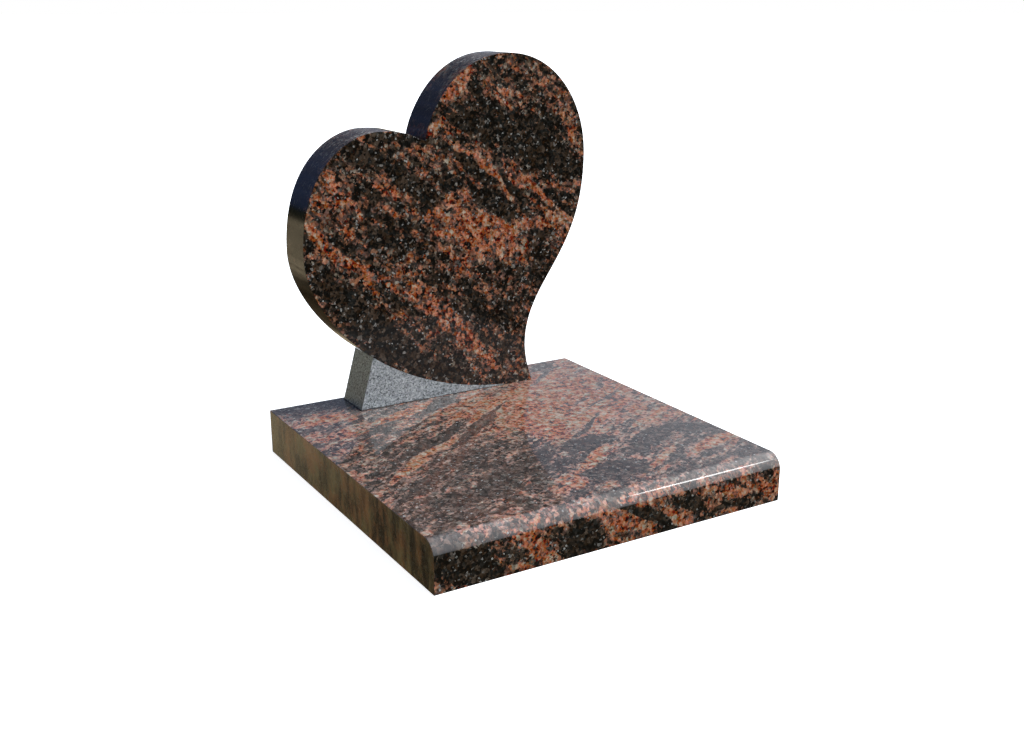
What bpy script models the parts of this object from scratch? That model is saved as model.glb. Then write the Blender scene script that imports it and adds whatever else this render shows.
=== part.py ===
"""A heart-shaped cremation memorial, made of three stones. Metres, Z up.

The base is a square slab of polished granite with one rounded edge along its
front. A heart of the same granite stands upright on its curled point, near the
back of the slab. A wedge of grey granite, cut to the heart's lower curve, holds
up its left side. The front faces -Y, and the origin is the centre of the slab's
underside.
"""

from collections import namedtuple
from math import ceil, cos, pi, radians, sin, tan

import bmesh
import bpy
from mathutils import Vector
from mathutils.geometry import interpolate_bezier

# All three stones are sawn from stock of one thickness
STONE_THICKNESS = 0.0762

# The base slab
SLAB_SIDE = 0.610
FRONT_EDGE_RADIUS = 0.0254
FRONT_EDGE_FACETS = 12

# The thin bed under a stone that stands on another, and beside one that leans on another
BEDDING = 0.0003

# The heart and its wedge stand parallel to the slab's front, a little in from its back edge
BACK_INSET = 0.009
UPRIGHT_FRONT_Y = SLAB_SIDE / 2 - BACK_INSET - STONE_THICKNESS
UPRIGHT_BOTTOM_Z = STONE_THICKNESS + BEDDING

# The heart's outline, seen from the front: x to the right, and height above its
# point. Each anchor has a handle towards the anchor before and the one after.
Anchor = namedtuple("Anchor", "at before after")
NO_HANDLE = (0.0, 0.0)
FOOT = Anchor((0.162, 0.0), NO_HANDLE, (-0.281, 0.0))
LEFT_SIDE = Anchor((-0.2615, 0.276), (0.0, -0.103), (0.0, 0.155))
LEFT_LOBE_TOP = Anchor((-0.123, 0.4705), (-0.0425, 0.0), (0.0535, 0.0))
CLEFT = Anchor((-0.037, 0.451), (-0.0285, 0.0095), (-0.001, 0.0145))
CREST = Anchor((0.1235, 0.5895), (-0.122, 0.0), (0.0945, 0.0))
RIGHT_SIDE = Anchor((0.2825, 0.410), (0.0, 0.0945), (0.0, -0.1885))
WAIST = Anchor((0.159, 0.070), (0.0, 0.1235), (0.0, -0.0175))
POINT = Anchor((0.174, 0.0), (-0.008, 0.0195), NO_HANDLE)
HEART_ANCHORS = (FOOT, LEFT_SIDE, LEFT_LOBE_TOP, CLEFT, CREST, RIGHT_SIDE, WAIST, POINT)

# The curves are cut into chords no longer than this
CHORD = 0.008

# The wedge's left side leans in towards its top, and its right end runs out thin
WEDGE_LEFT_X = -0.171
WEDGE_LEAN = radians(15.6)
WEDGE_THIN_END = 0.0012

# The slight bevel that polishing leaves along an edge
ARRIS = 0.0008
ARRIS_SEGMENTS = 2

# Faces that meet at less than this angle are one smooth curve
SMOOTH_ANGLE = radians(30.0)

# Plain colours of the stones, with the roughness of their finish
MULTICOLOUR_GRANITE = (0.105, 0.062, 0.045)
GREY_GRANITE = (0.215, 0.235, 0.245)
POLISHED = 0.08
HONED = 0.45


def stone_material(name, colour, roughness):
    """A plain material for one stone."""
    material = bpy.data.materials.new(name)
    material.use_nodes = True
    material.diffuse_color = (*colour, 1.0)
    shader = material.node_tree.nodes["Principled BSDF"]
    shader.inputs["Base Color"].default_value = (*colour, 1.0)
    shader.inputs["Roughness"].default_value = roughness
    shader.inputs["Metallic"].default_value = 0.0
    return material


def curve_between(start, end):
    """Points along the heart's outline from one anchor to the next, both included."""
    first = Vector(start.at)
    last = Vector(end.at)
    leaving = Vector(start.after)
    arriving = Vector(end.before)
    middle = (last + arriving) - (first + leaving)
    chords = ceil((leaving.length + middle.length + arriving.length) / CHORD)
    return interpolate_bezier(first, first + leaving, last + arriving, last, chords + 1)


def heart_outline():
    """The heart seen from the front, clockwise from its foot to its point."""
    outline = []
    for start, end in zip(HEART_ANCHORS, HEART_ANCHORS[1:]):
        outline.extend(curve_between(start, end)[:-1])
    outline.append(Vector(POINT.at))
    return outline


def past_left_side(point):
    """How far a point lies to the right of the wedge's leaning left side."""
    return point.x - (WEDGE_LEFT_X + point.y * tan(WEDGE_LEAN))


def wedge_outline():
    """The wedge seen from the front: a flat bottom, a leaning left side, and a top
    hollowed to the heart's lower curve, which runs out to the thin end."""
    sweep = curve_between(FOOT, LEFT_SIDE)
    cradle = []
    for before, point, after in zip(sweep, sweep[1:], sweep[2:]):
        along = (after - before).normalized()
        under = point + BEDDING * Vector((-along.y, along.x))
        if under.y > WEDGE_THIN_END:
            cradle.append(under)
    top = [point for point in cradle if past_left_side(point) > 0]
    last_in = top[-1]
    first_out = cradle[len(top)]
    share = past_left_side(last_in) / (past_left_side(last_in) - past_left_side(first_out))
    top_left = last_in.lerp(first_out, share)
    bottom_left = Vector((WEDGE_LEFT_X, 0.0))
    bottom_right = Vector((top[0].x, 0.0))
    return [bottom_right, *top, top_left, bottom_left]


def slab_outline():
    """The slab seen from its side, (y, z): square, but for the round edge at the front."""
    front = -SLAB_SIDE / 2
    back = SLAB_SIDE / 2
    round_centre = Vector((front + FRONT_EDGE_RADIUS, STONE_THICKNESS - FRONT_EDGE_RADIUS))
    outline = [Vector((back, 0.0)), Vector((front, 0.0))]
    for step in range(FRONT_EDGE_FACETS + 1):
        turn = pi / 2 * step / FRONT_EDGE_FACETS
        outline.append(round_centre + FRONT_EDGE_RADIUS * Vector((-cos(turn), sin(turn))))
    outline.append(Vector((back, STONE_THICKNESS)))
    return outline


def sawn_stone(name, corners, depth, material):
    """A stone with these corners on one face, carried through to the other by depth."""
    stone = bmesh.new()
    face = stone.faces.new([stone.verts.new(corner) for corner in corners])
    grown = bmesh.ops.extrude_face_region(stone, geom=[face])
    far_corners = [part for part in grown["geom"] if isinstance(part, bmesh.types.BMVert)]
    bmesh.ops.translate(stone, vec=depth, verts=far_corners)
    bmesh.ops.recalc_face_normals(stone, faces=stone.faces)
    mesh = bpy.data.meshes.new(name)
    stone.to_mesh(mesh)
    stone.free()
    mesh.materials.append(material)
    mesh.shade_smooth()
    mesh.set_sharp_from_angle(angle=SMOOTH_ANGLE)
    piece = bpy.data.objects.new(name, mesh)
    bpy.context.scene.collection.objects.link(piece)
    return piece


def ease_edges(piece):
    """Bevels every edge of a polished stone slightly."""
    bevel = piece.modifiers.new("arris", "BEVEL")
    bevel.width = ARRIS
    bevel.segments = ARRIS_SEGMENTS
    bevel.limit_method = "ANGLE"
    bevel.angle_limit = SMOOTH_ANGLE


def upright_stone(name, outline, material):
    """A stone with this outline seen from the front, standing on the slab."""
    corners = [Vector((point.x, UPRIGHT_FRONT_Y, UPRIGHT_BOTTOM_Z + point.y)) for point in outline]
    return sawn_stone(name, corners, Vector((0.0, STONE_THICKNESS, 0.0)), material)


def base_slab():
    """The square slab that everything stands on."""
    material = stone_material("polished_granite_base", MULTICOLOUR_GRANITE, POLISHED)
    corners = [Vector((-SLAB_SIDE / 2, point.x, point.y)) for point in slab_outline()]
    slab = sawn_stone("base_slab", corners, Vector((SLAB_SIDE, 0.0, 0.0)), material)
    ease_edges(slab)


def heart_headstone():
    """The heart, bedded on the slab and on the wedge."""
    material = stone_material("polished_granite_heart", MULTICOLOUR_GRANITE, POLISHED)
    heart = upright_stone("heart_headstone", heart_outline(), material)
    ease_edges(heart)


def support_wedge():
    """The grey wedge, which fills the space under the heart's left side."""
    material = stone_material("honed_grey_granite", GREY_GRANITE, HONED)
    upright_stone("support_wedge", wedge_outline(), material)


for leftover in list(bpy.data.objects):
    bpy.data.objects.remove(leftover)
base_slab()
heart_headstone()
support_wedge()
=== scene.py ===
from collections import namedtuple
from math import ceil, cos, pi, radians, sin, tan

import bmesh
import bpy
from mathutils import Matrix, Vector
from mathutils.geometry import interpolate_bezier


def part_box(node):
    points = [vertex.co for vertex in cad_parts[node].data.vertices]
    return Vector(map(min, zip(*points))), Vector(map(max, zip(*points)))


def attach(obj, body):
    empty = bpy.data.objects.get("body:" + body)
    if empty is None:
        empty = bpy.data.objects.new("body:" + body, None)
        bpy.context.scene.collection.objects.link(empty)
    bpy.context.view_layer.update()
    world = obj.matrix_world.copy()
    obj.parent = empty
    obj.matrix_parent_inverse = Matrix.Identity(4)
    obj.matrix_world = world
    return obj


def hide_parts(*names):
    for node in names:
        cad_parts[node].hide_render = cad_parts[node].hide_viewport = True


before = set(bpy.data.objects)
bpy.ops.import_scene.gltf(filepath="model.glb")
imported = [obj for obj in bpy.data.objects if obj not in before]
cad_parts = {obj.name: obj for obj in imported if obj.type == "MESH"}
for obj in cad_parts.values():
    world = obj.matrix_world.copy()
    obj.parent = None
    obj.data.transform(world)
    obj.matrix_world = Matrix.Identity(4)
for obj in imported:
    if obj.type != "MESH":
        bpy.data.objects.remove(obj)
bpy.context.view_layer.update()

# The base slab
# A square of multicolour granite, sawn from 3 in stock and polished. Its front edge is
# ground to a round and its other edges are eased. It lies on the ground under its weight.
ROUND_EDGE = 0.0254
ROUND_EDGE_STEPS = 32
ARRIS = 0.0011
ARRIS_STEPS = 3
SMOOTH = radians(25)

slab_low, slab_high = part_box("base_slab")


def sawn(name, corners, depth):
    """A stone with these corners on one face, carried through to the other by depth."""
    stone = bmesh.new()
    face = stone.faces.new([stone.verts.new(corner) for corner in corners])
    grown = bmesh.ops.extrude_face_region(stone, geom=[face])
    far_corners = [part for part in grown["geom"] if isinstance(part, bmesh.types.BMVert)]
    bmesh.ops.translate(stone, vec=depth, verts=far_corners)
    bmesh.ops.recalc_face_normals(stone, faces=stone.faces)
    mesh = bpy.data.meshes.new(name)
    stone.to_mesh(mesh)
    stone.free()
    mesh.shade_smooth()
    mesh.set_sharp_from_angle(angle=SMOOTH)
    piece = bpy.data.objects.new(name, mesh)
    bpy.context.scene.collection.objects.link(piece)
    return piece


def ease(piece, width):
    """Takes the sharpness off every edge, as rubbing down does."""
    arris = piece.modifiers.new("arris", "BEVEL")
    arris.width = width
    arris.segments = ARRIS_STEPS
    arris.limit_method = "ANGLE"
    arris.angle_limit = SMOOTH
    arris.harden_normals = True


class Amount:
    """A node's output. Sums done with it become Math nodes."""

    def __init__(self, work, socket):
        self.work = work
        self.socket = socket

    def reckon(self, operation, first, second):
        return self.work.add("ShaderNodeMath", {"operation": operation}, {0: first, 1: second})

    def __add__(self, other):
        return self.reckon("ADD", self, other)

    def __radd__(self, other):
        return self.reckon("ADD", other, self)

    def __sub__(self, other):
        return self.reckon("SUBTRACT", self, other)

    def __rsub__(self, other):
        return self.reckon("SUBTRACT", other, self)

    def __mul__(self, other):
        return self.reckon("MULTIPLY", self, other)

    def __rmul__(self, other):
        return self.reckon("MULTIPLY", other, self)

    def __lt__(self, other):
        return self.reckon("LESS_THAN", self, other)

    def __gt__(self, other):
        return self.reckon("GREATER_THAN", self, other)

    def rise(self, start, end):
        """0 up to start, 1 from end on, and smooth between them, whichever is the larger."""
        limits = {"Value": self, "From Min": start, "From Max": end}
        return self.work.add("ShaderNodeMapRange", {"interpolation_type": "SMOOTHSTEP"}, limits)

    def swing(self, strength):
        """How far a random amount is from a half, above or below, times a strength."""
        return strength * (self - 0.5)


class Workings:
    """The nodes of one material or of the sky, and the one way that more are added."""

    def __init__(self, tree):
        self.tree = tree

    def add(self, kind, settings=None, sockets=None, out=0):
        node = self.tree.nodes.new(kind)
        for name, value in (settings or {}).items():
            if name == "stops":
                self.set_stops(node.color_ramp, value)
            else:
                setattr(node, name, value)
        self.feed(node, sockets or {})
        if isinstance(out, tuple):
            return [Amount(self, node.outputs[name]) for name in out]
        return Amount(self, node.outputs[out])

    def set_stops(self, ramp, stops):
        while len(ramp.elements) < len(stops):
            ramp.elements.new(1.0)
        for element, (start, colour) in zip(ramp.elements, stops):
            element.position = start
            element.color = (*colour, 1.0)

    def feed(self, node, sockets):
        """Links or sets each of these sockets of a node."""
        for name, value in sockets.items():
            socket = node.inputs[name]
            if isinstance(value, Amount):
                self.tree.links.new(value.socket, socket)
            else:
                socket.default_value = (*value, 1.0) if socket.type == "RGBA" else value

    def vectors(self, operation, sockets, out=0):
        return self.add("ShaderNodeVectorMath", {"operation": operation}, sockets, out)

    def apart(self, vector, out):
        """The parts of a vector that are asked for, out of X, Y and Z."""
        return self.add("ShaderNodeSeparateXYZ", None, {0: vector}, out)

    def blend(self, share, first, second):
        """The first colour, with this share of the second."""
        return self.add("ShaderNodeMix", {"data_type": "RGBA"}, {0: share, 6: first, 7: second}, out=2)

    def drawn_out(self, place, size, turn=(0.0, 0.0, 0.0), centre=(0.0, 0.0, 0.0)):
        """A place measured from this centre along turned axes, each in a size of its own."""
        sockets = {"Vector": place, "Location": centre, "Rotation": turn, "Scale": size}
        return self.add("ShaderNodeMapping", {"vector_type": "TEXTURE"}, sockets)

    def cloud(self, place, size, detail=2.0):
        """A soft random amount, around a half, whose clouds are about this size."""
        sockets = {"Vector": place, "Scale": 1 / size, "Detail": detail, "Roughness": 0.55}
        return self.add("ShaderNodeTexNoise", None, sockets)

    def stirred(self, place, size, reach):
        """A place pushed about by up to this reach, in swirls of this size."""
        sockets = {"Vector": place, "Scale": 1 / size, "Detail": 2.0}
        swirl = self.add("ShaderNodeTexNoise", None, sockets, out="Color")
        push = self.vectors("MULTIPLY_ADD", {0: swirl, 1: (2 * reach,) * 3, 2: (-reach,) * 3})
        return self.vectors("ADD", {0: place, 1: push})

    def within(self, place, drift):
        """1 well inside a drift, and fading to nothing around it."""
        own = self.drawn_out(place, drift.size, drift.turn, drift.at)
        return self.vectors("LENGTH", {0: own}, out="Value").rise(1.3, 0.4)

    def grains(self, place, size):
        """Three random amounts for each grain of this size."""
        sockets = {"Vector": place, "Scale": 1 / size}
        cells = self.add("ShaderNodeTexVoronoi", None, sockets, out="Color")
        return self.add("ShaderNodeSeparateColor", None, {"Color": cells}, out=("Red", "Green", "Blue"))


def new_material(name):
    """A material, with its workings and its shader."""
    material = bpy.data.materials.new(name)
    material.use_nodes = True
    return material, Workings(material.node_tree), material.node_tree.nodes["Principled BSDF"]


Drift = namedtuple("Drift", "at turn size warmth")

# The stone's layers: how far each runs along itself, how thick it is, and how strong
LAYERS = (
    ((0.150, 0.150, 0.040), 2.0),
    ((0.045, 0.045, 0.012), 2.2),
    ((0.035, 0.035, 0.007), 2.4),
)

# Swirls that bend the layers, and swirls that roughen a crystal's edge: their size and reach
BENDS = (0.09, 0.02)
RAGGED_EDGES = (0.005, 0.003)

# Crystals, and the clumps in which they keep together
COARSE_CLUMP = 0.020
FINE_CLUMP = 0.009
CRYSTAL = 0.0072
SMALL_CRYSTAL = 0.0036
SMALL_CRYSTAL_SHARE = 0.35
SPECK = 0.0026
SPECK_SHARE = 0.028
MOTTLE = 0.0050

# How far each of these swings a crystal's warmth
CLUMP_SWING = 2.4
COARSE_SWING = 1.2
CRYSTAL_SWING = 0.42
SMALL_CRYSTAL_SWING = 0.22

# An orange crystal's hue goes by clumps and patches of its own, apart from the others
HUE_CLUMP = 0.011
HUE_PATCH = 0.035
HUES_APART = (1.7, 2.3, 3.1)
HUE_CLUMP_SWING = 2.2
HUE_PATCH_SWING = 0.9
HUE_CRYSTAL_SWING = 0.55
HUE_SMALL_CRYSTAL_SWING = 0.30
COARSE_REDDER = 0.13

# How light a crystal is, and how pale a cold one and a warm one may be
LIGHTNESS = 0.88
SHADE_SWING = 0.45
TINT_SWING = 0.35
MOTTLE_SWING = 1.2
COLD_PALLOR = 0.024
WARM_PALLOR = 0.13

# The warmth at which crystals start to turn black, orange or pale, and have turned
TURNS_BLACK = (-0.02, -0.34)
TURNS_ORANGE = (0.24, 0.52)
TURNS_PALE = (-0.1, 0.7)

# How a top differs from a side, seen as it is under the open sky. Its colours fade where
# the stone is cold, and its loose crystals are redder and paler, above all at the back.
TOP_CALMER = 0.25
TOP_WARMER = 0.2
TOP_LESS_BLACK = 0.35
TOP_YELLOWER = 0.12
# Painted light: a top is painted brighter than a side
TOP_PAINTED_BRIGHTER = 0.08
TOP_PALER = 0.05
TOP_FADED = 0.36
TOP_FADES = (1.5, -0.5)
TOP_REDDER = 0.07
BACK_REDDER = 0.13
BACK_OF_TOP = (0.10, 0.26)

# The minerals, by their share of each kind of ground
ORANGE_GROUND = (
    (0.00, (0.014, 0.012, 0.009)),
    (0.14, (0.055, 0.031, 0.022)),
    (0.30, (0.170, 0.068, 0.042)),
    (0.44, (0.370, 0.086, 0.035)),
    (0.58, (0.375, 0.128, 0.057)),
    (0.72, (0.300, 0.155, 0.076)),
    (0.86, (0.360, 0.210, 0.150)),
    (1.00, (0.320, 0.280, 0.210)),
)
MIXED_GROUND = (
    (0.00, (0.010, 0.009, 0.007)),
    (0.22, (0.018, 0.014, 0.011)),
    (0.36, (0.060, 0.034, 0.025)),
    (0.52, (0.095, 0.056, 0.046)),
    (0.66, (0.180, 0.072, 0.044)),
    (0.78, (0.280, 0.115, 0.062)),
    (0.89, (0.090, 0.072, 0.052)),
    (1.00, (0.250, 0.210, 0.165)),
)
BLACK_GROUND = (
    (0.00, (0.004, 0.004, 0.003)),
    (0.40, (0.008, 0.008, 0.007)),
    (0.60, (0.024, 0.016, 0.010)),
    (0.80, (0.044, 0.027, 0.017)),
    (0.96, (0.064, 0.047, 0.035)),
    (1.00, (0.195, 0.185, 0.175)),
)
BLACKEST = (0.005, 0.004, 0.003)
DIM_SPECK = (0.030, 0.030, 0.028)
PALE_SPECK = (0.360, 0.350, 0.335)

# How far a face must look up to be a top, and down to be the sawn underside
TOP_FACE = (0.2, 0.9)
SAWN_FACE = (-0.97, -0.99)

# Dust lies thinly on the top and on the sawn underside, and a top is paler towards the right and the
# back
DUST_AND_PALING = (0.520, 0.480, 0.450)
DUST_PATCH = 0.05
THIN_DUST = 0.06
RIGHT_PALING = 0.13
RIGHT_OF_TOP = (0.0, 0.30)
BACK_PALING = 0.03
PALER_BACK = (0.10, 0.30)
SAWN_DUST = 0.6

# Painted reflection on the left sides: a film of mirrored ground, brown near the ground and dark above
LEFT_FACE = (-0.2, -0.8)
LOW_REFLECTION_HEIGHT = (0.20, 0.06)
REFLECTED_STREAKS = (0.018, 0.018, 0.050)
BROWN_REFLECTION_PATCH = 0.05
REFLECTION_PATCH = 0.09
DARK_REFLECTION = (0.022, 0.018, 0.015)
OLIVE_REFLECTION = (0.240, 0.178, 0.092)
RUST_REFLECTION = (0.330, 0.150, 0.072)
REFLECTION_STRENGTH = 0.8

# How rough the polish is, and how much rougher its patches, a black crystal, the lower
# painted reflection on a left side and sawn stone are
POLISH = 0.06
PATCH_ROUGHER = 0.03
POLISH_PATCH = 0.08
BLACK_ROUGHER = 0.05
LOW_REFLECTION_ROUGHER = 0.2
SAWN_ROUGHER = 0.6
COAT_POLISH = 0.03
GRANITE_IOR = 1.45


def warmth_at(work, flow, across, drifts):
    """How warm the stone is, from black to orange, by its layers and its drifts."""
    lie = Vector(across).to_track_quat("Z", "Y").to_euler()
    warmth = 0.0
    for size, strength in LAYERS:
        layer = work.drawn_out(flow, size, lie)
        warmth = warmth + work.cloud(layer, 1.0).swing(strength)
    for drift in drifts:
        warmth = warmth + drift.warmth * work.within(flow, drift)
    return warmth


def painted_reflection_on(work, place, height):
    """The painted reflection on a left side: brown streaks near the ground, dark above."""
    streak_place = work.drawn_out(place, REFLECTED_STREAKS)
    brown_share = work.cloud(place, BROWN_REFLECTION_PATCH, 3.0).rise(0.40, 0.60)
    brown_reflection = work.blend(brown_share, OLIVE_REFLECTION, RUST_REFLECTION)
    streak_strength = work.cloud(streak_place, 1.0, 6.0) + work.cloud(place, REFLECTION_PATCH, 1.0).swing(0.7)
    streaked_reflection = work.blend(streak_strength.rise(0.24, 0.66), DARK_REFLECTION, brown_reflection)
    return work.blend(height.rise(*LOW_REFLECTION_HEIGHT), DARK_REFLECTION, streaked_reflection)


def polished_granite(name, across, drifts, coarse, gloss, coat):
    """Granite whose minerals were drawn out in layers, and in the drifts listed for it.
    A top shows its crystals calmer, warmer and paler than a side does, and is painted brighter, which is
    painted light."""
    material, work, shader = new_material(name)
    place = work.add("ShaderNodeTexCoord", out="Object")
    aside, depth, height = work.apart(place, ("X", "Y", "Z"))
    facing = work.add("ShaderNodeNewGeometry", out="Normal")
    leftward, level = work.apart(facing, ("X", "Z"))
    upward = level.rise(*TOP_FACE)
    sawn_face = level.rise(*SAWN_FACE)
    calm = 1.0 - TOP_CALMER * upward

    # How warm each crystal is, by the layers, the clumps and its own chance
    warmth = warmth_at(work, work.stirred(place, *BENDS), across, drifts)
    ragged = work.stirred(place, *RAGGED_EDGES)
    crystal, crystal_pick, shade = work.grains(ragged, CRYSTAL)
    small, small_pick, tint = work.grains(ragged, SMALL_CRYSTAL)
    coarsely = work.within(place, coarse)
    fine_clump = work.cloud(ragged, FINE_CLUMP)
    clump = fine_clump + coarsely * (work.cloud(ragged, COARSE_CLUMP) - fine_clump)
    clumped = clump.swing(CLUMP_SWING + COARSE_SWING * coarsely)
    heat = warmth * (1.0 + TOP_WARMER * upward) + clumped
    heat = heat + calm * (crystal.swing(CRYSTAL_SWING) + small.swing(SMALL_CRYSTAL_SWING))
    blackness = heat.rise(*TURNS_BLACK) * (1.0 - TOP_LESS_BLACK * upward)

    # Which mineral it is, in clusters where the ground is orange and loose elsewhere
    elsewhere = work.vectors("ADD", {0: ragged, 1: HUES_APART})
    chance = crystal_pick.swing(HUE_CRYSTAL_SWING) + small_pick.swing(HUE_SMALL_CRYSTAL_SWING)
    cluster = 0.5 + work.cloud(elsewhere, HUE_CLUMP).swing(HUE_CLUMP_SWING)
    cluster = cluster + calm * chance - COARSE_REDDER * coarsely
    cluster = cluster + work.cloud(elsewhere, HUE_PATCH).swing(HUE_PATCH_SWING) + TOP_YELLOWER * upward
    redder = TOP_REDDER + BACK_REDDER * depth.rise(*BACK_OF_TOP)
    loose = crystal_pick + (small > 1.0 - SMALL_CRYSTAL_SHARE) * (small_pick - crystal_pick)
    loose = 0.5 + loose.swing(calm) + upward * redder
    mixed, black, orange = [
        work.add("ShaderNodeValToRGB", {"stops": stops}, {"Fac": pick})
        for stops, pick in ((MIXED_GROUND, loose), (BLACK_GROUND, loose), (ORANGE_GROUND, cluster))
    ]
    ground = work.blend(blackness, mixed, black)
    ground = work.blend(heat.rise(*TURNS_ORANGE), ground, orange)
    speck, glow, _ = work.grains(place, SPECK)
    speck_colour = work.blend(glow * glow, DIM_SPECK, PALE_SPECK)
    ground = work.blend(speck > 1.0 - SPECK_SHARE, ground, speck_colour)

    # How light each crystal is, and how pale, and a top painted brighter, which is painted light
    shading = LIGHTNESS + TOP_PAINTED_BRIGHTER * upward
    shading = shading + calm * (shade.swing(SHADE_SWING) + tint.swing(TINT_SWING))
    shading = shading + work.cloud(place, MOTTLE, 1.0).swing(MOTTLE_SWING)
    pallor = COLD_PALLOR + TOP_PALER * upward + WARM_PALLOR * heat.rise(*TURNS_PALE)
    pallor = (0.55 * tint + 0.45 * shade - 0.5) * pallor
    colour = work.vectors("MULTIPLY_ADD", {0: ground, 1: shading, 2: pallor})
    colour = work.vectors("MAXIMUM", {0: colour, 1: BLACKEST})
    faded = TOP_FADED * upward * warmth.rise(*TOP_FADES)
    colour = work.add("ShaderNodeHueSaturation", None, {"Color": colour, "Saturation": 1.0 - faded})

    # Dust on the stone, a top paler towards the right and the back, and a painted reflection of the
    # ground on the left sides
    dust_and_paling = THIN_DUST * work.cloud(place, DUST_PATCH)
    # A top made paler towards the right and the back
    dust_and_paling = dust_and_paling + RIGHT_PALING * aside.rise(*RIGHT_OF_TOP) + BACK_PALING * depth.rise(*PALER_BACK)
    colour = work.blend(upward * dust_and_paling + SAWN_DUST * sawn_face, colour, DUST_AND_PALING)
    # Painted reflection: the left sides take the colours of mirrored ground
    painted_reflection = REFLECTION_STRENGTH * leftward.rise(*LEFT_FACE)
    colour = work.blend(painted_reflection, colour, painted_reflection_on(work, place, height))

    rough = POLISH + BLACK_ROUGHER * blackness + PATCH_ROUGHER * work.cloud(place, POLISH_PATCH)
    rough = rough + LOW_REFLECTION_ROUGHER * painted_reflection * height.rise(*LOW_REFLECTION_HEIGHT)
    finish = {
        "Base Color": colour,
        "Roughness": rough + SAWN_ROUGHER * sawn_face,
        "IOR": GRANITE_IOR,
        "Specular IOR Level": gloss,
        "Coat Weight": coat * (1.0 - painted_reflection) * (1.0 - sawn_face),
        "Coat Roughness": COAT_POLISH,
    }
    work.feed(shader, finish)
    return material


DRIFT_DEPTH = 0.045


def top_drift(x, y, length, width, lean, warmth):
    """A drift seen on the top. It leans this many degrees back from left to right."""
    size = (length / 2, width / 2, DRIFT_DEPTH)
    return Drift((x, y, slab_high.z), (0.0, 0.0, radians(lean)), size, warmth)


def front_drift(x, z, length, width, lean, warmth):
    """A drift seen on the front. It leans this many degrees down from left to right."""
    size = (length / 2, DRIFT_DEPTH, width / 2)
    return Drift((x, slab_low.y, z), (0.0, radians(lean), 0.0), size, warmth)


SLAB_COARSE = top_drift(-0.150, -0.250, 0.50, 0.300, 0, 1.0)
SLAB_DRIFTS = (
    top_drift(0.082, -0.107, 0.10, 0.055, 9, -2.4),
    top_drift(0.052, -0.163, 0.18, 0.020, 40, 2.2),
    top_drift(0.053, -0.219, 0.11, 0.060, 13, -2.4),
    top_drift(0.187, -0.134, 0.20, 0.040, 26, -1.9),
    top_drift(0.269, -0.139, 0.10, 0.050, -35, -1.8),
    top_drift(0.260, -0.206, 0.16, 0.025, 18, 2.0),
    top_drift(0.289, -0.260, 0.08, 0.035, 0, -0.9),
    top_drift(0.267, 0.138, 0.10, 0.020, 46, -1.1),
    top_drift(0.236, 0.275, 0.08, 0.030, 37, -1.1),
    top_drift(-0.135, -0.171, 0.24, 0.034, 28, -1.6),
    # Black at the back-left corner: partly the stone's own dark band, partly painted shadow of the heart
    # and wedge
    top_drift(-0.246, 0.283, 0.13, 0.045, 0, -1.8),
    top_drift(-0.241, 0.209, 0.12, 0.050, 0, 1.8),
    top_drift(-0.263, 0.128, 0.12, 0.060, 0, 0.6),
    top_drift(-0.114, 0.173, 0.17, 0.026, 23, 3.2),
    top_drift(-0.045, 0.188, 0.13, 0.040, 22, -2.0),
    top_drift(0.085, 0.020, 0.24, 0.100, 60, 1.1),
    top_drift(-0.037, -0.230, 0.10, 0.050, 30, 1.1),
    top_drift(0.180, 0.100, 0.30, 0.200, 30, 0.7),
    top_drift(0.000, 0.000, 0.90, 0.900, 0, 0.1),
    top_drift(0.140, 0.120, 0.50, 0.500, 0, 0.6),
    # A warmer strip along the round edge: partly the stone's warmth, partly painted highlight where the
    # edge shines pale
    top_drift(0.000, -0.300, 0.80, 0.030, 0, 0.25),
    top_drift(-0.100, -0.150, 0.45, 0.300, 30, -0.3),
    top_drift(-0.030, 0.060, 0.26, 0.022, 40, -1.5),
    top_drift(0.020, 0.110, 0.20, 0.016, 36, 1.3),
    top_drift(-0.130, 0.030, 0.20, 0.026, 34, -1.3),
    top_drift(-0.190, -0.040, 0.22, 0.022, 36, 1.4),
    top_drift(-0.200, -0.110, 0.20, 0.020, 32, -1.4),
    top_drift(0.150, 0.050, 0.22, 0.018, 34, -1.2),
    top_drift(0.200, 0.000, 0.20, 0.018, 30, 1.3),
    top_drift(0.120, 0.180, 0.22, 0.018, 34, 1.3),
    top_drift(0.190, 0.220, 0.16, 0.014, 34, -1.2),
    top_drift(0.230, 0.060, 0.16, 0.012, 32, -1.6),
    top_drift(0.120, -0.040, 0.16, 0.012, 36, -1.3),
    top_drift(0.240, -0.060, 0.14, 0.012, 28, 1.6),
    top_drift(0.150, -0.215, 0.12, 0.012, 30, 1.2),
    front_drift(0.000, 0.020, 0.90, 0.060, 0, 0.1),
    front_drift(-0.253, 0.030, 0.11, 0.046, 10, -1.8),
    front_drift(-0.151, 0.032, 0.09, 0.030, 37, 1.2),
    front_drift(-0.065, 0.030, 0.08, 0.050, 3, -1.8),
    front_drift(0.015, 0.029, 0.11, 0.026, 35, 1.8),
    front_drift(0.049, 0.032, 0.12, 0.018, 36, -1.7),
    front_drift(0.123, 0.034, 0.06, 0.026, 25, -1.4),
    front_drift(0.106, 0.013, 0.05, 0.016, 25, 1.5),
    front_drift(0.204, 0.038, 0.10, 0.026, 25, 1.4),
    front_drift(0.205, 0.012, 0.07, 0.016, 0, -1.2),
    front_drift(0.280, 0.033, 0.06, 0.022, 31, 1.0),
)
SLAB_ACROSS = (0.42, -0.73, 0.54)
SLAB_GLOSS = 0.5
SLAB_COAT = 0.8


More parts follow.
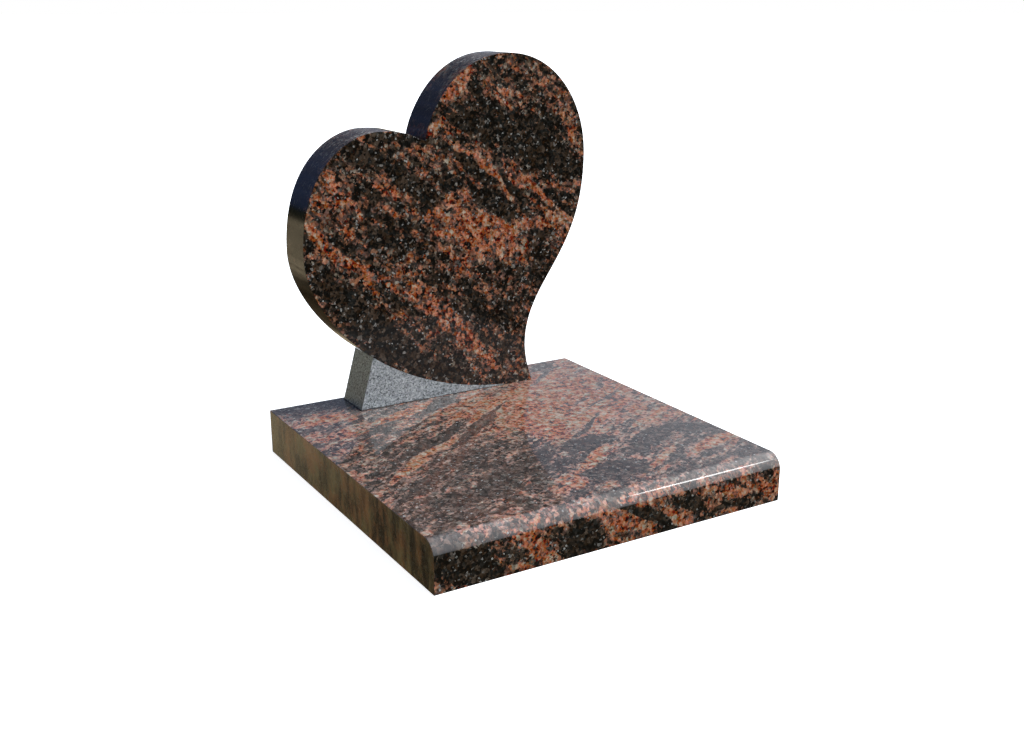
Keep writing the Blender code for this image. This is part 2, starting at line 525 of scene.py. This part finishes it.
def slab_outline():
    """The slab seen from its side, (y, z): square, but for the round edge at the front."""
    middle = Vector((slab_low.y + ROUND_EDGE, slab_high.z - ROUND_EDGE))
    outline = [Vector((slab_high.y, slab_low.z)), Vector((slab_low.y, slab_low.z))]
    for step in range(ROUND_EDGE_STEPS + 1):
        turn = pi / 2 * step / ROUND_EDGE_STEPS
        outline.append(middle + ROUND_EDGE * Vector((-cos(turn), sin(turn))))
    outline.append(Vector((slab_high.y, slab_high.z)))
    return outline


corners = [Vector((slab_low.x, point.x, point.y)) for point in slab_outline()]
slab = sawn("polished_base", corners, Vector((slab_high.x - slab_low.x, 0.0, 0.0)))
ease(slab, ARRIS)
stone = polished_granite("base_granite", SLAB_ACROSS, SLAB_DRIFTS, SLAB_COARSE, SLAB_GLOSS, SLAB_COAT)
slab.data.materials.append(stone)
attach(slab, "root")
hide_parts("base_slab")

# The heart
# A leaning heart of the same granite and thickness, cut to its outline by a wire saw
# and polished all round. It stands upright on its curled point, near the slab's back.
Anchor = namedtuple("Anchor", "at before after")
NO_HANDLE = (0.0, 0.0)
FOOT = Anchor((0.162, 0.0), NO_HANDLE, (-0.281, 0.0))
LEFT_SIDE = Anchor((-0.2615, 0.276), (0.0, -0.103), (0.0, 0.155))
LEFT_LOBE_TOP = Anchor((-0.123, 0.4705), (-0.0425, 0.0), (0.0535, 0.0))
CLEFT = Anchor((-0.037, 0.451), (-0.0285, 0.0095), (-0.001, 0.0145))
CREST = Anchor((0.1235, 0.5895), (-0.122, 0.0), (0.0945, 0.0))
RIGHT_SIDE = Anchor((0.2825, 0.410), (0.0, 0.0945), (0.0, -0.1885))
WAIST = Anchor((0.159, 0.070), (0.0, 0.1235), (0.0, -0.0175))
POINT = Anchor((0.174, 0.0), (-0.008, 0.0195), NO_HANDLE)
HEART_ANCHORS = (FOOT, LEFT_SIDE, LEFT_LOBE_TOP, CLEFT, CREST, RIGHT_SIDE, WAIST, POINT)
CHORD = 0.0025

heart_low, heart_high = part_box("heart_headstone")


def curve_between(start, end):
    """Points along the heart's outline from one anchor to the next, both included."""
    first = Vector(start.at)
    last = Vector(end.at)
    leaving = Vector(start.after)
    arriving = Vector(end.before)
    middle = (last + arriving) - (first + leaving)
    chords = ceil((leaving.length + middle.length + arriving.length) / CHORD)
    return interpolate_bezier(first, first + leaving, last + arriving, last, chords + 1)


def heart_outline():
    """The heart seen from the front, clockwise from its foot to its point."""
    outline = []
    for start, end in zip(HEART_ANCHORS, HEART_ANCHORS[1:]):
        outline.extend(curve_between(start, end)[:-1])
    outline.append(Vector(POINT.at))
    return outline


RIGHT_THROUGH = 0.5
RIM_INSET = 0.034
RIM_DEPTH = 0.033


def heart_drift(x, z, length, width, lean, warmth):
    """A drift right through the heart. It leans this many degrees down from left to right."""
    size = (length / 2, RIGHT_THROUGH, width / 2)
    return Drift((x, heart_low.y, z), (0.0, radians(lean), 0.0), size, warmth)


def rim_painted_shade(x, z, length, width, lean, warmth):
    """Painted shade on the rim: a drift that the rim cuts, but that stops short of the heart's front."""
    size = (length / 2, RIM_DEPTH, width / 2)
    return Drift((x, heart_high.y - RIM_INSET, z), (0.0, radians(lean), 0.0), size, warmth)


HEART_COARSE = heart_drift(-0.050, 0.300, 0.50, 0.260, 42, 1.0)
HEART_DRIFTS = (
    heart_drift(0.025, 0.626, 0.10, 0.035, -40, 1.1),
    heart_drift(-0.021, 0.540, 0.05, 0.025, -50, 1.3),
    heart_drift(0.050, 0.491, 0.15, 0.011, 32, 0.9),
    heart_drift(0.131, 0.421, 0.10, 0.010, 49, 0.9),
    heart_drift(0.171, 0.442, 0.22, 0.014, 41, 0.8),
    heart_drift(0.238, 0.426, 0.06, 0.012, 26, 1.0),
    heart_drift(0.125, 0.592, 0.15, 0.045, 30, 0.8),
    heart_drift(0.250, 0.545, 0.11, 0.030, 62, 0.4),
    heart_drift(-0.223, 0.370, 0.12, 0.026, 43, 1.3),
    heart_drift(-0.149, 0.311, 0.13, 0.026, 38, 0.9),
    heart_drift(-0.198, 0.447, 0.11, 0.050, 50, 0.7),
    heart_drift(-0.105, 0.451, 0.09, 0.022, 28, 0.6),
    heart_drift(0.017, 0.432, 0.08, 0.030, -20, 0.8),
    heart_drift(0.066, 0.364, 0.22, 0.075, 26, 1.2),
    heart_drift(0.188, 0.368, 0.15, 0.026, 3, 0.9),
    heart_drift(-0.044, 0.256, 0.20, 0.040, 47, 0.6),
    heart_drift(0.043, 0.163, 0.20, 0.050, 42, 0.7),
    heart_drift(0.059, 0.544, 0.12, 0.036, 22, -1.0),
    heart_drift(0.188, 0.493, 0.24, 0.050, 27, -1.0),
    heart_drift(0.150, 0.540, 0.26, 0.120, 30, -0.5),
    heart_drift(0.000, 0.350, 1.20, 1.200, 0, -0.13),
    heart_drift(0.054, 0.473, 0.10, 0.018, 31, -1.1),
    heart_drift(0.094, 0.415, 0.10, 0.030, 36, -1.5),
    heart_drift(0.135, 0.437, 0.10, 0.016, 40, -1.1),
    heart_drift(0.232, 0.400, 0.10, 0.018, 42, -0.9),
    heart_drift(-0.126, 0.498, 0.12, 0.030, 20, -1.0),
    heart_drift(-0.090, 0.532, 0.13, 0.026, 6, -0.9),
    heart_drift(-0.054, 0.447, 0.13, 0.034, 30, -0.9),
    heart_drift(-0.139, 0.384, 0.14, 0.026, 35, -0.6),
    heart_drift(-0.222, 0.300, 0.12, 0.030, 47, -1.0),
    heart_drift(-0.144, 0.225, 0.18, 0.050, 40, -0.8),
    heart_drift(-0.047, 0.140, 0.20, 0.032, 29, -1.4),
    heart_drift(0.045, 0.263, 0.09, 0.022, 56, -0.8),
    # Painted shade: the upper left rims of both lobes turned black
    rim_painted_shade(-0.250, 0.450, 0.22, 0.080, -70, -1.4),
    rim_painted_shade(-0.180, 0.535, 0.16, 0.050, -30, -1.4),
    rim_painted_shade(-0.020, 0.590, 0.16, 0.060, -60, -1.4),
    rim_painted_shade(0.060, 0.655, 0.16, 0.050, -25, -1.4),
)
HEART_ACROSS = (0.50, -0.50, 0.64)
HEART_GLOSS = 0.22
NO_COAT = 0.0

corners = [Vector((point.x, heart_low.y, heart_low.z + point.y)) for point in heart_outline()]
heart = sawn("polished_heart", corners, Vector((0.0, heart_high.y - heart_low.y, 0.0)))
ease(heart, ARRIS)
stone = polished_granite("heart_granite", HEART_ACROSS, HEART_DRIFTS, HEART_COARSE, HEART_GLOSS, NO_COAT)
heart.data.materials.append(stone)
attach(heart, "root")
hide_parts("heart_headstone")

# The wedge
# A block of fine grey granite, honed and not polished, cut to the heart's lower curve.
# It fills the space under the heart's left side, and runs out thin towards the point.
BEDDING = 0.0003
WEDGE_LEAN = radians(15.6)
WEDGE_THIN_END = 0.0012
WEDGE_ARRIS = 0.0004

wedge_low, wedge_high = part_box("support_wedge")


def past_left_side(point):
    """How far a point lies to the right of the wedge's leaning left side."""
    return point.x - (wedge_low.x + point.y * tan(WEDGE_LEAN))


def wedge_outline():
    """The wedge seen from the front: a flat bottom, a leaning left side, and a top
    hollowed to the heart's lower curve, which runs out to the thin end."""
    sweep = curve_between(FOOT, LEFT_SIDE)
    cradle = []
    for before, point, after in zip(sweep, sweep[1:], sweep[2:]):
        along = (after - before).normalized()
        under = point + BEDDING * Vector((-along.y, along.x))
        if under.y > WEDGE_THIN_END:
            cradle.append(under)
    top = [point for point in cradle if past_left_side(point) > 0]
    last_in = top[-1]
    first_out = cradle[len(top)]
    share = past_left_side(last_in) / (past_left_side(last_in) - past_left_side(first_out))
    top_left = last_in.lerp(first_out, share)
    bottom_left = Vector((wedge_low.x, 0.0))
    bottom_right = Vector((top[0].x, 0.0))
    return [bottom_right, *top, top_left, bottom_left]


HONED_GROUND = (
    (0.00, (0.060, 0.066, 0.070)),
    (0.14, (0.170, 0.185, 0.195)),
    (0.34, (0.270, 0.290, 0.305)),
    (0.70, (0.370, 0.395, 0.410)),
    (0.90, (0.520, 0.545, 0.560)),
)
FINE_EDGES = (0.002, 0.0008)
FINE_CRYSTAL = 0.0021
HONED_PATCH = 0.03
HONED = 0.40
HONED_IOR = 1.5
PIT = 0.0015
PIT_DEPTH = 0.0002
JOINT_AND_SHADE = (0.020, 0.020, 0.022)
JOINT_AND_SHADE_HEIGHT = 0.0035


def honed_granite(name):
    """Fine salt and pepper granite with a dull face, darkened along its foot where it meets the slab: a
    dark joint, partly painted shade of the gap beneath.
    """
    material, work, shader = new_material(name)
    place = work.add("ShaderNodeTexCoord", out="Object")
    height = work.apart(place, "Z")
    patch = work.cloud(place, HONED_PATCH)
    fine, shade, _ = work.grains(work.stirred(place, *FINE_EDGES), FINE_CRYSTAL)
    ground = work.add("ShaderNodeValToRGB", {"stops": HONED_GROUND}, {"Fac": fine})
    shading = 0.60 + 0.22 * shade + 0.30 * patch
    colour = work.vectors("SCALE", {0: ground, "Scale": shading})
    # A dark joint along the foot, partly painted shade in the gap under the wedge
    joint_and_shade = height < wedge_low.z + JOINT_AND_SHADE_HEIGHT * (patch - 0.15)
    pits = {"Strength": 0.3, "Distance": PIT_DEPTH, "Height": work.cloud(place, PIT)}
    finish = {
        "Base Color": work.blend(0.8 * joint_and_shade, colour, JOINT_AND_SHADE),
        "Roughness": HONED + 0.12 * fine,
        "Normal": work.add("ShaderNodeBump", None, pits),
        "IOR": HONED_IOR,
    }
    work.feed(shader, finish)
    return material


corners = [Vector((point.x, wedge_low.y, wedge_low.z + point.y)) for point in wedge_outline()]
wedge = sawn("honed_wedge", corners, Vector((0.0, wedge_high.y - wedge_low.y, 0.0)))
ease(wedge, WEDGE_ARRIS)
wedge.data.materials.append(honed_granite("honed_grey_granite"))
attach(wedge, "root")
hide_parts("support_wedge")

# The floor
# A plain pale floor, level with the slab's underside. It is bright enough to look white,
# and it neither lights the stone nor is mirrored in it.
FLOOR_SIDE = 120.0
FLOOR_PATCH = 0.4
DARKER_FLOOR = (0.80, 0.80, 0.80)
PALER_FLOOR = (0.84, 0.84, 0.84)

floor_mesh = bpy.data.meshes.new("floor")
sheet = bmesh.new()
under_slab = Matrix.Translation((0.0, 0.0, slab_low.z))
bmesh.ops.create_grid(sheet, x_segments=1, y_segments=1, size=FLOOR_SIDE / 2, matrix=under_slab)
sheet.to_mesh(floor_mesh)
sheet.free()
floor = bpy.data.objects.new("floor", floor_mesh)
bpy.context.scene.collection.objects.link(floor)

paint, floor_work, floor_shader = new_material("pale_floor")
floor_place = floor_work.add("ShaderNodeTexCoord", out="Object")
floor_patch = floor_work.cloud(floor_place, FLOOR_PATCH)
floor_finish = {
    "Base Color": floor_work.blend(floor_patch, DARKER_FLOOR, PALER_FLOOR),
    "Roughness": 0.7,
    "Emission Color": (1.0, 1.0, 1.0),
    "Emission Strength": 0.90,
}
floor_work.feed(floor_shader, floor_finish)
floor.data.materials.append(paint)
floor.visible_glossy = False
floor.visible_diffuse = False

# The light
# One large soft light from above, the front and the right, with a small one for the
# glint along the round edge, and a sky. The camera sees the sky white, the stone is lit
# by a dome that is dim on the left, and its polish mirrors a blue sky over brown ground.
KEY_FROM = Vector((0.62, -0.39, 0.68))
KEY_STRENGTH = 1.32
KEY_WIDTH = radians(45)
GLINT_FROM = Vector((0.598, -0.385, 0.69))
GLINT_STRENGTH = 0.045
GLINT_WIDTH = radians(7)

# The mirrored sky: low and high on the left, in the middle, on the right, round the key
LOW_BLUE = (0.085, 0.135, 0.310)
HIGH_BLUE = (0.220, 0.400, 0.950)
DIM_BLUE = (0.050, 0.070, 0.150)
GREY_BLUE = (0.175, 0.195, 0.250)
NEAR_WHITE = (1.700, 1.700, 1.800)
STREAK_SIZE = (0.02, 0.02, 0.12)

# The mirrored ground: near and far, in front, and the line where it meets the sky
NEAR_GROUND = (0.060, 0.042, 0.022)
FAR_GROUND = (0.780, 0.640, 0.420)
FRONT_GROUND = (0.040, 0.035, 0.025)
HORIZON = (0.025, 0.035, 0.020)

# What lights the stone besides: the dome, low and high, and the ground
DOME_LOW = (0.250, 0.270, 0.320)
DOME_HIGH = (1.150, 1.500, 1.900)
LEFT_DOME_LOW = (0.380, 0.420, 0.350)
LEFT_DOME_HIGH = (0.020, 0.020, 0.030)
GROUND_RIGHT = (0.120, 0.110, 0.090)
GROUND_LEFT = (0.640, 0.660, 0.530)
BACKDROP = (1.0, 1.0, 1.0)


def far_light(name, towards, width, strength):
    """A light far off in this direction, which makes a white face turned to it this bright."""
    light = bpy.data.lights.new(name, "SUN")
    light.angle = width
    light.energy = strength * pi
    lamp = bpy.data.objects.new(name, light)
    lamp.rotation_euler = towards.to_track_quat("Z", "Y").to_euler()
    bpy.context.scene.collection.objects.link(lamp)
    return lamp


key = far_light("key", KEY_FROM, KEY_WIDTH, KEY_STRENGTH)
key.visible_glossy = False
glint = far_light("glint", GLINT_FROM, GLINT_WIDTH, GLINT_STRENGTH)
glint.visible_diffuse = False

world = bpy.data.worlds.new("sky")
bpy.context.scene.world = world
world.use_nodes = True
sky = Workings(world.node_tree)
direction = sky.add("ShaderNodeTexCoord", out="Generated")
right, back, up = sky.apart(direction, ("X", "Y", "Z"))
to_key = KEY_FROM.normalized()
facing_key = sky.vectors("DOT_PRODUCT", {0: direction, 1: to_key}, out="Value")
streak = 0.1 + 1.8 * sky.cloud(sky.drawn_out(direction, STREAK_SIZE), 1.0).rise(0.25, 0.75)

blue = sky.blend(up.rise(0.45, 0.75), LOW_BLUE, HIGH_BLUE)
blue = sky.vectors("SCALE", {0: blue, "Scale": 0.45 + 0.55 * streak})
blue = sky.blend(right.rise(-0.20, 0.10), blue, DIM_BLUE)
above = sky.blend(right.rise(0.12, 0.52), blue, GREY_BLUE)
above = sky.blend(facing_key.rise(0.35, 0.90), above, NEAR_WHITE)
below = sky.blend(up.rise(-0.42, -0.28), NEAR_GROUND, FAR_GROUND)
below = sky.blend(back.rise(-0.3, 0.6), FRONT_GROUND, below)
below = sky.vectors("SCALE", {0: below, "Scale": streak})
mirrored = sky.blend(up.rise(0.02, 0.05), HORIZON, above)
mirrored = sky.blend(up.rise(-0.02, -0.05), mirrored, below)

dome = sky.blend(up.rise(-0.05, 1.0), DOME_LOW, DOME_HIGH)
left_dome = sky.blend(up.rise(0.1, 0.6), LEFT_DOME_LOW, LEFT_DOME_HIGH)
dome = sky.blend(right.rise(0.4, -0.2), dome, left_dome)
lit_ground = sky.blend(right.rise(0.3, -0.6), GROUND_RIGHT, GROUND_LEFT)
dome = sky.blend(up.rise(0.0, -0.05), dome, lit_ground)

is_camera, is_glossy = sky.add("ShaderNodeLightPath", out=("Is Camera Ray", "Is Glossy Ray"))
shown = sky.blend(is_glossy, dome, mirrored)
shown = sky.blend(is_camera, shown, BACKDROP)
sky.feed(world.node_tree.nodes["Background"], {"Color": shown})

# The camera
# It stands a little above the heart, to the left of its front, as in the photograph.
CAMERA_AT = Vector((-0.93805, -1.55265, 0.75203))
CAMERA_TURN = radians(31.1034)
CAMERA_DIP = radians(17.6124)
CAMERA_ROLL = radians(0.078)
IMAGE_WIDTH = 1024
FOCAL_PIXELS = 1178.69

lens = bpy.data.cameras.new("camera")
lens.sensor_width = 36.0
lens.lens = FOCAL_PIXELS / IMAGE_WIDTH * lens.sensor_width
camera = bpy.data.objects.new("camera", lens)
turn = Matrix.Rotation(-CAMERA_TURN, 4, "Z") @ Matrix.Rotation(pi / 2 - CAMERA_DIP, 4, "X")
camera.matrix_world = Matrix.Translation(CAMERA_AT) @ turn @ Matrix.Rotation(CAMERA_ROLL, 4, "Z")
bpy.context.scene.collection.objects.link(camera)
bpy.context.scene.camera = camera
bpy.context.scene.view_settings.view_transform = "Standard"
